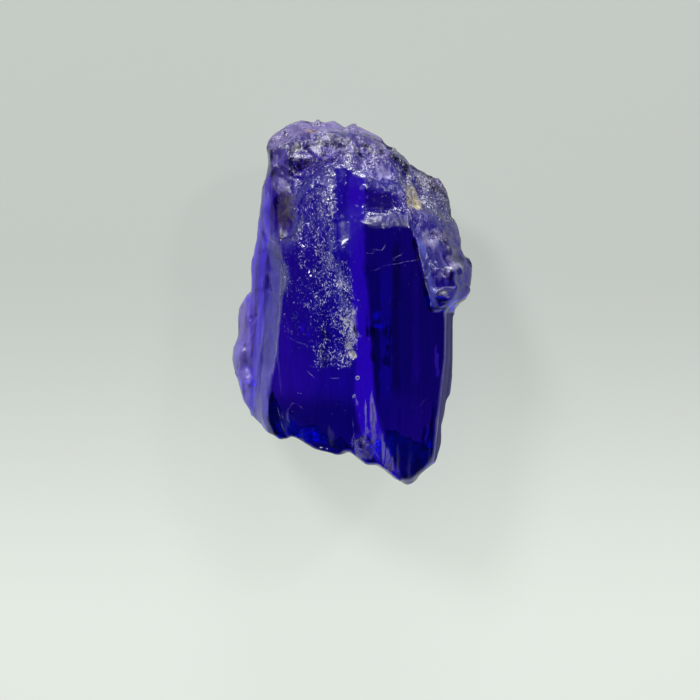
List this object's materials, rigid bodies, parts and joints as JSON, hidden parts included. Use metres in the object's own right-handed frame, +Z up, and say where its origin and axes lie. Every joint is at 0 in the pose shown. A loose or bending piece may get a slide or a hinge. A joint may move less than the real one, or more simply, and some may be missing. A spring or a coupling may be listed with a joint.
{
  "type": "tanzanite crystal",
  "caption": "Rough blue-violet gem crystal with striated sides, a frosted broken head, an overhanging lump and a chisel-shaped foot, lying on its flat back.",
  "frame": {"origin": "middle of the crystal's outline seen from above, on the plane of its flat back", "axes": "+X across the crystal towards the side with the overhanging lump, +Y along the crystal's length towards its rough head, +Z up, out of the flat back"},
  "size_m": [0.0084, 0.0128, 0.0055],
  "materials": {
    "tanzanite": "natural rough gem, see-through blue-violet, glassy on the prism faces and frosted on the breaks"
  },
  "bodies": {
    "root": {"tanzanite_crystal": "tanzanite"}
  },
  "joints": []
}
